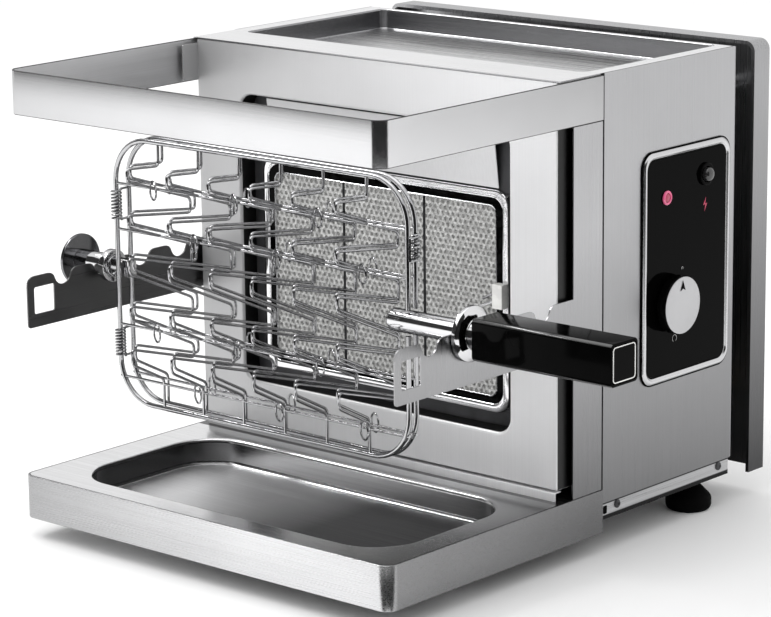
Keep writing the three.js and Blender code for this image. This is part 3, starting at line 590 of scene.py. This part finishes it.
def make_drip_tray():
    low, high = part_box("drip_tray")
    dish = (low.x + 0.034, high.x - 0.029, low.y + 0.0258, high.y - 0.023)
    dish_corner = 0.045
    bend = 0.0095
    edge = 0.004
    rows = pressed_dish((low.x, high.x, low.y, high.y), (bend, bend, 0, 0), dish, dish_corner, high.z,
                        low.z + SHEET, edge)
    tray = surface("drip_tray_pan", rows, TRAY_STEEL, wrap_cols=True, caps=("first", "last"))
    # the rim and the dish walls take their own finishes, which carry painted reflection and shade
    finish_faces(tray, ((TRAY_RIM, lambda c, n: c.z > high.z - 0.0011),
                        (TRAY_WALL_SHADE, lambda c, n: abs(n.z) < 0.8)))
    stands_for(tray, "drip_tray", "polished_steel", "drip_tray")


def make_top_tray():
    low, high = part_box("top_tray")
    margin = 0.0162
    dish = (low.x + margin, high.x - margin, low.y + 0.0535, high.y - 0.0022)
    dish_corner = 0.008
    edge = 0.002
    rows = pressed_dish((low.x, high.x, low.y, high.y), 0, dish, dish_corner, high.z, low.z + SHEET, edge)
    tray = surface("warming_tray", rows, TOP_STEEL, wrap_cols=True, caps=("first", "last"))
    # the rear and side walls take darker copies of the steel and the floor darkens towards the back: painted
    # shade
    finish_faces(tray, ((TOP_REAR_SHADE, lambda c, n: n.y < -0.6),
                        (TOP_WALL_SHADE, lambda c, n: abs(n.z) < 0.8),
                        (TOP_FLOOR, lambda c, n: c.z < high.z - 0.003)))
    stands_for(tray, "oven", "polished_steel", "top_tray")


def make_panel():
    low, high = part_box("front_panel")
    tab_reach = 0.02
    face = low.y + tab_reach
    back = high.y
    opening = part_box("burner_surround")
    gap = 0.0003
    x0, x1 = opening[0].x - gap, opening[1].x + gap
    z0, z1 = opening[0].z - gap, opening[1].z + gap
    bend = 0.003
    depth = 0.023
    ease = 0.0008
    hole_corner = 0.015

    def outer(inset, y):
        outline = rounded(low.x + inset, high.x - inset, low.z + inset, high.z, ease, 10)
        return [(x, y, z) for x, z in outline]

    def hole(grow, y):
        outline = rounded(x0 - grow, x1 + grow, z0 - grow, z1 + grow, hole_corner + grow, 10)
        return [(x, y, z) for x, z in outline]

    front = [outer(0, back), outer(0, face + ease), outer(ease, face), outer(ease + FLAT_MARGIN, face),
             hole(bend + FLAT_MARGIN, face)]
    front += [hole(grow, y) for grow, y in arc(bend, face + bend, bend, 270, 6, -90)]
    rear = [hole(0, face + depth), hole(SHEET, face + depth), hole(bend, face + SHEET),
            outer(SHEET, face + SHEET), outer(SHEET, back)]
    bm = bmesh.new()
    add_rows(bm, front + rear, wrap_rows=True, wrap_cols=True)
    for side in (low.x, high.x - SHEET):
        tab = rounded(low.y, face + 0.001, high.z - 0.0375, high.z - 0.0037, 0.001, 3)
        add_rows(bm, [[(x, y, z) for y, z in tab] for x in (side, side + SHEET)], wrap_cols=True,
                 caps=("first", "last"))
    panel = mesh_piece("panel_shell", bm, PANEL_STEEL)
    side_top = high.z - 0.04

    def right_end(centre, normal):
        return normal.x > 0.9 and centre.x > x1 and centre.z < side_top

    def mouth(centre, _):
        deep = face + bend * 0.8 < centre.y < face + depth
        return deep and x0 - SHEET < centre.x < x1 + SHEET and centre.z < z1 + SHEET

    # the recess walls and the lower part of the right return are near black: painted shadow
    finish_faces(panel, ((PANEL_SHADOW, right_end), (PANEL_SHADOW, mouth)))
    stands_for(panel, "oven", "polished_steel", "front_panel")


# ---- burner ----------------------------------------------------------------------------------------
def make_bezel():
    """A polished ring, a recessed step inside it painted black as shadow, and a thin bright bead against the
    ceramic.
    """
    low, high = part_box("burner_bezel")
    corner = 0.016
    front, back = low.y, high.y
    step = front + 0.0016

    def outline(t):
        return rounded(low.x + t, high.x - t, low.z + t, high.z - t, max(corner - t * 0.55, 0.004), 14)

    def ring(name, profile, material):
        rows = [[(x, y, z) for x, z in outline(t)] for t, y in profile]
        return surface(name, rows, material, wrap_rows=True, wrap_cols=True)

    # each profile is (distance in from the outer edge, place along Y)
    outer = [(0, back), (0, front + 0.0012), (0.0006, front + 0.0003), (0.0018, front), (0.0052, front),
             (0.0070, front + 0.0004), (0.0076, front + 0.0011), (0.0076, back)]
    inner = [(0.0142, back), (0.0142, front + 0.0010), (0.0147, front + 0.0005), (0.0153, front + 0.0010),
             (0.0155, back)]
    recess = [(0.0075, step), (0.0143, step), (0.0143, back), (0.0075, back)]
    stands_for(ring("bezel_ring", outer, BEZEL_CHROME), "oven", "chrome_trim", "burner_bezel")
    extra(ring("bezel_bead", inner, FRAME_CHROME), "oven")
    # the black of the step is painted shadow
    extra(ring("bezel_step_shadow", recess, BLACK_PLATE), "oven")


def clamp(value, lowest, highest):
    return min(max(value, lowest), highest)


def make_plaque(number):
    """A ceramic plaque with a staggered field of small round pits."""
    node = f"ceramic_plaque_{number}"
    low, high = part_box(node)
    pitch = 0.0058
    depth = 0.0022
    border = 0.0014
    x0, x1, z0, z1 = low.x + border, high.x - border, low.z + border, high.z - border
    columns = int((x1 - x0) / pitch)
    step = (x1 - x0) / columns
    rise = step * math.sqrt(3) / 2
    rows = int((z1 - z0) / rise)
    bm = bmesh.new()
    corners = [(math.cos(a), math.sin(a)) for a in (math.radians(30 + 60 * k) for k in range(6))]
    outer_r = step / math.sqrt(3)
    # each pit is (radius, place along Y): the cell's edge, the pit's lip and its floor
    pit = ((outer_r, low.y), (outer_r * 0.66, low.y), (outer_r * 0.5, low.y + depth))
    for row in range(rows + 1):
        for column in range(columns + 1):
            x = x0 + (column + (0.5 if row % 2 else 0)) * step
            z = z0 + row * rise
            if x > x1 + step * 0.3:
                continue
            rings = []
            for radius, y in pit:
                rings.append([bm.verts.new((clamp(x + radius * c, x0, x1), y, clamp(z + radius * s, z0, z1)))
                              for c, s in corners])
            for a, b in zip(rings, rings[1:]):
                for k in range(6):
                    bm.faces.new((a[k], a[(k + 1) % 6], b[(k + 1) % 6], b[k]))
            bm.faces.new(rings[-1])
    edge = [(x0, x1, z0, z1, low.y), (low.x, high.x, low.z, high.z, low.y + border),
            (low.x, high.x, low.z, high.z, high.y)]
    add_rows(bm, [[(a, y, c), (b, y, c), (b, y, d), (a, y, d)] for a, b, c, d, y in edge], wrap_cols=True,
             caps=("last",))
    plaque = mesh_piece(f"plaque_{number}", bm, CLAY)
    finish_faces(plaque, ((IRON, lambda c, n: not x0 < c.x < x1),))
    stands_for(plaque, "oven", "burner_ceramic", node)


# ---- basket ----------------------------------------------------------------------------------------
FRAME_WIRE = 0.0023
MESH_WIRE = 0.0013
CLIP_WIRE = 0.0009
BASKET_HALF = 0.123
BASKET_CORNER = 0.040
TOOTH = 0.040
UPRIGHTS = 6
STAGGER = 0.005
ROD_HEIGHTS = (0.0805, 0.038, -0.051, -0.100)
# One upright wire along its height: (side of the frame's plane in teeth, height from the spit axis).
UPRIGHT = (
    (0, 0.122), (0, 0.102), (-1, 0.105), (-1, 0.094), (1, 0.067), (1, 0.053), (-1, 0.063), (-1, 0.052),
    (1, 0.024), (1, 0.004), (-1, 0.024), (-1, 0.010), (1, -0.026), (1, -0.042), (-1, -0.020), (-1, -0.032),
    (1, -0.070), (1, -0.083), (-1, -0.060), (-1, -0.074), (0, -0.095), (0, -0.122),
)
BREAK = 0.0114                 # the frames stop short of the right spindle
KNUCKLES = ((0.046, 0.074), (-0.082, -0.056))
KNUCKLE_RADIUS = 0.0044
UPRIGHT_BEND = 0.0045
RING_RADIUS = 0.0084           # the wire rings round the uprights and rods
RING_OFFSET = 0.0074


def plane_of(side):
    """The basket half's left and right wires: side -1 is the front half, 1 the rear half."""
    left = Vector((HINGE.x, SPIT.y + side * abs(HINGE.y - SPIT.y), SPIT.z))
    right = Vector((LATCH.x, SPIT.y + side * abs(LATCH.y - SPIT.y), SPIT.z))
    return left, right


def make_basket_half(side, name, node, body):
    left, right = plane_of(side)
    along = (right - left).normalized()
    out = Vector((0, 0, 1)).cross(along).normalized()
    width = (right - left).length

    def at(u, offset, height):
        return left + along * u + out * offset + Vector((0, 0, height))

    bm = bmesh.new()
    half, corner = BASKET_HALF, BASKET_CORNER
    outline = [(width, BREAK)]
    outline += arc(width - corner, half - corner, corner, 0, 10)
    outline += arc(corner, half - corner, corner, 90, 10)
    outline += arc(corner, corner - half, corner, 180, 10)
    outline += arc(width - corner, corner - half, corner, 270, 10)
    outline += [(width, -BREAK)]
    add_tube(bm, [at(u, 0, v) for u, v in outline], FRAME_WIRE, 14)

    pitch = width / (UPRIGHTS + 1)
    for i in range(UPRIGHTS):
        u = (i + 1) * pitch - side * STAGGER
        bends = softened([at(u, tooth * TOOTH, height) for tooth, height in UPRIGHT], UPRIGHT_BEND)
        add_tube(bm, bends, MESH_WIRE, 10)
        for j, height in enumerate(ROD_HEIGHTS):
            if (i + j) % 2 == 0:
                centre = at(u, side * RING_OFFSET, height)
                add_ring(bm, centre, along * 0.5 + out, RING_RADIUS, CLIP_WIRE)
    for height in ROD_HEIGHTS:
        add_tube(bm, [at(0, 0, height), at(width / 2, 0, height), at(width, 0, height)], MESH_WIRE, 10)
    if side > 0:
        for low, high in KNUCKLES:
            foot = plane_of(-1)[0] + Vector((0, 0, low))
            add_ring(bm, foot, (0, 0, 1), KNUCKLE_RADIUS, CLIP_WIRE, turns=9, rise=high - low, steps=14)
            for height in (low, high):
                hook = plane_of(-1)[0] + Vector((0, KNUCKLE_RADIUS, height))
                add_tube(bm, [hook, at(0, 0, height)], CLIP_WIRE * 1.3, 8)
    half_basket = mesh_piece(name, bm, WIRE_CHROME)
    stands_for(half_basket, body, "chrome_wire", node)


def make_latch():
    low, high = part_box("basket_latch")
    bm = bmesh.new()
    pivot = Vector((LATCH.x, LATCH.y, low.z))
    coil = 0.0041
    add_ring(bm, pivot, (0, 0, 1), coil, CLIP_WIRE, turns=7, rise=high.z - low.z, steps=16)
    side = high.x - 0.0008
    reach = low.y + 0.001
    ends = (low.z + 0.002, high.z - 0.002)
    for height in ends:
        add_tube(bm, [(LATCH.x + coil, LATCH.y, height), (side, LATCH.y - 0.003, height),
                      (side, reach, height)], CLIP_WIRE, 8)
    add_tube(bm, [(side, reach, height) for height in ends], CLIP_WIRE, 8)
    latch = mesh_piece("latch_clip", bm, WIRE_CHROME)
    stands_for(latch, "basket_latch", "chrome_wire", "basket_latch")


# ---- spit ------------------------------------------------------------------------------------------
def eased(profile, radius=0.0006):
    """The profile with its corners slightly rounded."""
    return [(p.x, p.y) for p in softened([(a, r, 0) for a, r in profile], radius, 3)]


SPINDLE = 0.010
FLANGE = 0.024


def turned_on_spit(name, profile, material, node):
    piece = turned(name, eased(profile), (SPIT.y, SPIT.z), material)
    stands_for(piece, "spit", "chrome_trim", node)


def make_spit():
    centre = (SPIT.y, SPIT.z)
    low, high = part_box("left_spindle")
    r = SPINDLE
    bore = r + 0.0003
    tongue = 0.004
    bm = bmesh.new()
    barrel_end = low.x + 0.045
    rod = eased([(low.x, 0), (low.x, r), (barrel_end, r), (barrel_end, 0)])
    steps = 56
    add_rows(bm, [[(a, centre[0] + s * math.cos(t), centre[1] + s * math.sin(t)) for t in
                   (2 * math.pi * i / steps for i in range(steps))] for a, s in rod], wrap_cols=True)
    blade = rounded(centre[0] - tongue, centre[0] + tongue, centre[1] - 0.008, centre[1] + 0.008, 0.001, 3)
    add_rows(bm, [[(x, y, z) for y, z in blade] for x in (barrel_end - 0.002, high.x)], wrap_cols=True,
             caps=("first", "last"))
    stands_for(mesh_piece("left_spindle_bar", bm, CHROME), "spit", "chrome_trim", "left_spindle")

    low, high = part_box("left_flange")
    disc = [(high.x, 0), (high.x, FLANGE), (high.x - 0.003, FLANGE), (high.x - 0.0055, 0.0215),
            (high.x - 0.0068, 0.015), (low.x, 0.011), (low.x, 0)]
    turned_on_spit("left_flange_disc", disc, SHADED_CHROME, "left_flange")

    low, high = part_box("left_collar")
    ring = [(low.x, bore), (low.x, 0.015), (high.x, 0.015), (high.x, bore), (low.x, bore)]
    turned_on_spit("left_collar_ring", ring, CHROME, "left_collar")

    low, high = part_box("right_spindle")
    bar = [(low.x, 0), (low.x, 0.0085), (low.x + 0.002, r), (high.x, r), (high.x, 0)]
    turned_on_spit("right_spindle_bar", bar, CHROME, "right_spindle")

    low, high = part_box("right_flange")
    flange = [(low.x, bore), (low.x, FLANGE), (low.x + 0.004, FLANGE), (low.x + 0.006, 0.0205),
              (low.x + 0.0072, 0.0135), (high.x, 0.0128), (high.x, bore), (low.x, bore)]
    turned_on_spit("right_flange_disc", flange, CHROME, "right_flange")


def square(x, half, corner):
    """A square section round the spit's axis, half of its width each way."""
    outline = rounded(SPIT.y - half, SPIT.y + half, SPIT.z - half, SPIT.z + half, corner, 8)
    return [(x, y, z) for y, z in outline]


def make_handle():
    low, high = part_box("spit_handle")
    half = (high.y - low.y) / 2
    wall = 0.0026
    ease = 0.0012
    hollow = 0.012
    # each section is (place along X, distance in from the outside, corner radius)
    sections = ((low.x, ease, 0.0032), (low.x + ease * 0.3, ease * 0.3, 0.004), (low.x + ease, 0, 0.004),
                (high.x - ease, 0, 0.004), (high.x - ease * 0.3, ease * 0.3, 0.0038),
                (high.x, ease, 0.0032), (high.x, wall - 0.0004, 0.0026), (high.x - 0.0006, wall, 0.0024),
                (high.x - hollow, wall, 0.0024))
    rows = [square(x, half - inset, corner) for x, inset, corner in sections]
    grip = surface("handle_grip", rows, BLACK_GLOSS, wrap_cols=True, caps=("first", "last"))

    def long_edge(_, normal):
        return abs(normal.x) < 0.5 and abs(normal.y) > 0.3 and abs(normal.z) > 0.3

    finish_faces(grip, ((BLACK_EDGE, long_edge),))
    stands_for(grip, "spit", "black_gloss", "spit_handle")

    low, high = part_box("handle_cap")
    half = (high.y - low.y) / 2
    ease = 0.0005
    rows = [square(low.x, half, 0.0024), square(high.x - ease, half, 0.0024),
            square(high.x, half - ease, 0.002)]
    cap = surface("handle_end", rows, BLACK_GLOSS, wrap_cols=True, caps=("first", "last"))
    stands_for(cap, "spit", "black_gloss", "handle_cap")
    # a thin pale ring round the end face: a painted highlight on the cap's rim
    bm = bmesh.new()
    add_tube(bm, square(high.x, half - 0.0008, 0.003), 0.0005, 8, closed=True)
    extra(mesh_piece("handle_end_highlight", bm, PORCELAIN), "spit")


# ---- controls --------------------------------------------------------------------------------------
def centre_yz(low, high):
    return (low.y + high.y) / 2, (low.z + high.z) / 2


def make_control_frame():
    low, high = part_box("control_bezel")
    band = 0.007
    corner = 0.014
    height = high.x - low.x
    step = low.x + height * 0.45
    # each point is (distance in from the outer edge, place along X)
    profile = [(0, low.x), (0, step), (0.0007, low.x + height * 0.72), (0.0016, high.x - 0.0002),
               (0.0030, high.x), (0.0042, high.x - 0.0004), (0.0050, low.x + height * 0.5), (0.0054, step),
               (band, step), (band, low.x)]

    def outline(t, r):
        return rounded(low.y + t, high.y - t, low.z + t, high.z - t, r, 14)

    rows = [[(x, y, z) for y, z in outline(t, max(corner - t * 0.6, 0.004))] for t, x in profile]
    frame_ring = surface("control_frame", rows, FRAME_CHROME, wrap_rows=True, wrap_cols=True)

    def inner_step(centre, normal):
        return centre.x < low.x + height * 0.475 and normal.x > 0.9

    finish_faces(frame_ring, ((BLACK_PLATE, inner_step),))
    stands_for(frame_ring, "oven", "chrome_trim", "control_bezel")
    # a thin black ring just outside the frame: a painted shadow line round it
    lip = 0.0013
    shadow_outline = [(-lip, low.x), (-lip, low.x + 0.0009), (-0.0002, low.x + 0.0009), (-0.0002, low.x)]
    rows = [[(x, y, z) for y, z in outline(t, corner - t)] for t, x in shadow_outline]
    extra(surface("control_shadow_ring", rows, BLACK_RUBBER, wrap_rows=True, wrap_cols=True), "oven")


def make_indicator():
    low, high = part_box("indicator_lens")
    centre = centre_yz(low, high)
    lens = [(low.x, 0.0042), (low.x, 0.0065), (low.x + 0.001, 0.0065), (high.x, 0.0054), (high.x, 0.0048),
            (low.x + 0.0012, 0.0042), (low.x, 0.0042)]
    stands_for(turned("indicator_ring", lens, centre, RED_LENS), "oven", "red_lens", "indicator_lens")
    core = [(low.x, 0), (low.x, 0.0039), (low.x + 0.001, 0.0037), (low.x + 0.0015, 0.002),
            (low.x + 0.0016, 0)]
    extra(turned("indicator_core", core, centre, RED_CORE), "oven")


def make_igniter():
    low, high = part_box("igniter_housing")
    centre = centre_yz(low, high)
    flange = high.x - 0.0023
    cup = [(low.x, 0.007), (low.x, 0.0086), (flange, 0.0086), (flange, 0.0105), (high.x - 0.0006, 0.0105),
           (high.x, 0.0098), (high.x, 0.0076), (high.x - 0.0006, 0.007), (low.x, 0.007)]
    stands_for(turned("igniter_cup", eased(cup, 0.0003), centre, BLACK_GLOSS), "oven", "black_gloss",
               "igniter_housing")

    low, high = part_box("igniter_button")
    r = 0.0065
    crown = 0.004
    dome = [(low.x, 0), (low.x, r), (high.x - crown, r)]
    dome += [(high.x - crown + crown * math.sin(a), r * math.cos(a))
             for a in (math.radians(10 * i) for i in range(1, 10))]
    stands_for(turned("igniter_dome", dome, centre, BLACK_EDGE), "igniter_button", "black_gloss",
               "igniter_button")


def make_knob():
    """A black turned grip with a slightly hollow silver face."""
    low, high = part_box("gas_knob")
    r = (high.y - low.y) / 2
    bore = 0.0043
    rim = high.x - 0.0006
    grip = [(low.x, bore), (low.x, r - 0.0012), (low.x + 0.0008, r - 0.0003), (high.x - 0.0022, r - 0.0003),
            (rim, r - 0.0012), (rim, 0)]
    body = turned("gas_knob_grip", eased(grip, 0.0004), (KNOB.y, KNOB.z), BLACK_GLOSS, steps=96)
    stands_for(body, "gas_knob", "knob_silver", "gas_knob")
    face = [(rim - 0.0004, r - 0.0012), (rim + 0.0003, r - 0.0010), (high.x, r - 0.0019),
            (high.x, r - 0.0026), (high.x - 0.0004, r - 0.0036), (high.x - 0.0005, 0)]
    extra(turned("gas_knob_face", face, (KNOB.y, KNOB.z), KNOB_SILVER, steps=96), "gas_knob")
    tip = KNOB.z + r * 0.84
    base = KNOB.z + r * 0.50
    spread = 0.0036
    arrow = [(KNOB.y, tip), (KNOB.y - spread, base), (KNOB.y, base + 0.0018), (KNOB.y + spread, base)]
    rows = [[(x, y, z) for y, z in arrow] for x in (high.x - 0.0007, high.x - 0.0001)]
    pointer = surface("knob_pointer", rows, BLACK_PLATE, wrap_cols=True, caps=("first", "last"))
    extra(pointer, "gas_knob")


def make_marks():
    """Plain marks on the control plate: a spark below the igniter and open rings that grow round the knob."""
    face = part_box("control_plate")[1].x
    low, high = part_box("igniter_button")
    y = centre_yz(low, high)[0]
    z = low.z - 0.022
    bolt = [(y + 0.001, z + 0.007), (y - 0.003, z), (y, z + 0.0006), (y - 0.001, z - 0.006),
            (y + 0.003, z + 0.0014), (y, z + 0.001)]
    spark = surface("spark_mark", [[(x, a, b) for a, b in bolt] for x in (face - 0.0002, face + 0.0002)],
                    PRINT_RED, wrap_cols=True, caps=("first", "last"))
    extra(spark, "oven")
    bm = bmesh.new()
    reach = 0.034
    for index, angle in enumerate((60, 25, -10, -45, -80)):
        a = math.radians(angle)
        centre = Vector((face, KNOB.y + reach * math.cos(a), KNOB.z + reach * math.sin(a)))
        size = 0.0012 + 0.0005 * index
        points = [centre + Vector((0, size * math.cos(b), size * math.sin(b)))
                  for b in (math.radians(turn) for turn in range(-60, 241, 30))]
        add_tube(bm, points, 0.00025, 6)
    extra(mesh_piece("dial_marks", bm, PRINT_WHITE), "oven")


# ---- feet and screws -------------------------------------------------------------------------------
def make_feet():
    for name in ("rear_left_foot", "rear_right_foot", "front_left_foot", "front_right_foot"):
        low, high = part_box(name)
        centre = ((low.x + high.x) / 2, (low.y + high.y) / 2)
        r = (high.x - low.x) / 2
        profile = [(low.z, 0), (low.z, r - 0.003), (low.z + 0.002, r - 0.0008), (low.z + 0.0045, r),
                   (low.z + 0.011, r), (low.z + 0.0135, r - 0.0012), (high.z - 0.007, 0.0115),
                   (high.z - 0.004, 0.0102), (high.z, 0.010), (high.z, 0)]
        foot = turned(f"{name}_rubber", eased(profile, 0.001), centre, BLACK_RUBBER, "Z")
        stands_for(foot, "oven", "black_rubber", name)


def make_screws():
    """Two pan-head screws with a round recess on each side rail, and near its front end a shallow black slot,
    which is painted shade in a notch.
    """
    steps = 28
    recess = 0.45
    # a screw's dome is (height off the rail, radius)
    dome = [(0, 0.0040), (0.0008, 0.0039), (0.0016, 0.0030), (0.002, 0.0018)]
    for name, side in (("left", -1), ("right", 1)):
        low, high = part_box(f"{name}_rail")
        skin = high.x if side > 0 else low.x
        for number, y in enumerate((low.y + 0.022, high.y - 0.016), 1):
            bm = bmesh.new()
            z = (low.z + high.z) / 2 + 0.003
            rows = [[(skin + side * d, y + r * math.cos(t), z + r * math.sin(t)) for t in
                     (2 * math.pi * i / steps for i in range(steps))] for d, r in dome]
            rows.append([(skin + side * 0.0009, v - (v - y) * recess, w - (w - z) * recess)
                         for _, v, w in rows[-1]])
            add_rows(bm, rows, wrap_cols=True, caps=("first", "last"))
            extra(mesh_piece(f"{name}_rail_screw_{number}", bm, IRON), "oven")
        # a shallow black slot near the front end of the rail: painted shade in a notch
        lip = 0.0008
        front, rear, bottom, top = low.y + 0.0015, low.y + 0.0065, low.z + 0.0052, low.z + 0.0125
        slot = [rounded(front + t, rear - t, bottom + t, top - t, lip, 3) for t in (0, 0, lip, lip)]
        rows = [[(skin + side * d, y, z) for y, z in ring]
                for d, ring in zip((-0.0002, 0.0004, 0.0004, 0.0001), slot)]
        notch_shade = surface(f"{name}_rail_notch_shade", rows, BLACK_RUBBER, wrap_cols=True, caps=("first", "last"))
        extra(notch_shade, "oven")


make_camera()
bpy.context.scene.view_settings.view_transform = "Standard"
make_studio()
finish_nodes()
make_hood()
make_skirt()
make_drip_tray()
make_top_tray()
make_panel()
make_bezel()
for plaque_number in (1, 2, 3):
    make_plaque(plaque_number)
make_basket_half(-1, "basket_front_wires", "basket_front_half", "basket_front")
make_basket_half(1, "basket_rear_wires", "basket_rear_half", "spit")
make_latch()
make_spit()
make_handle()
make_control_frame()
make_indicator()
make_igniter()
make_knob()
make_marks()
make_feet()
make_screws()
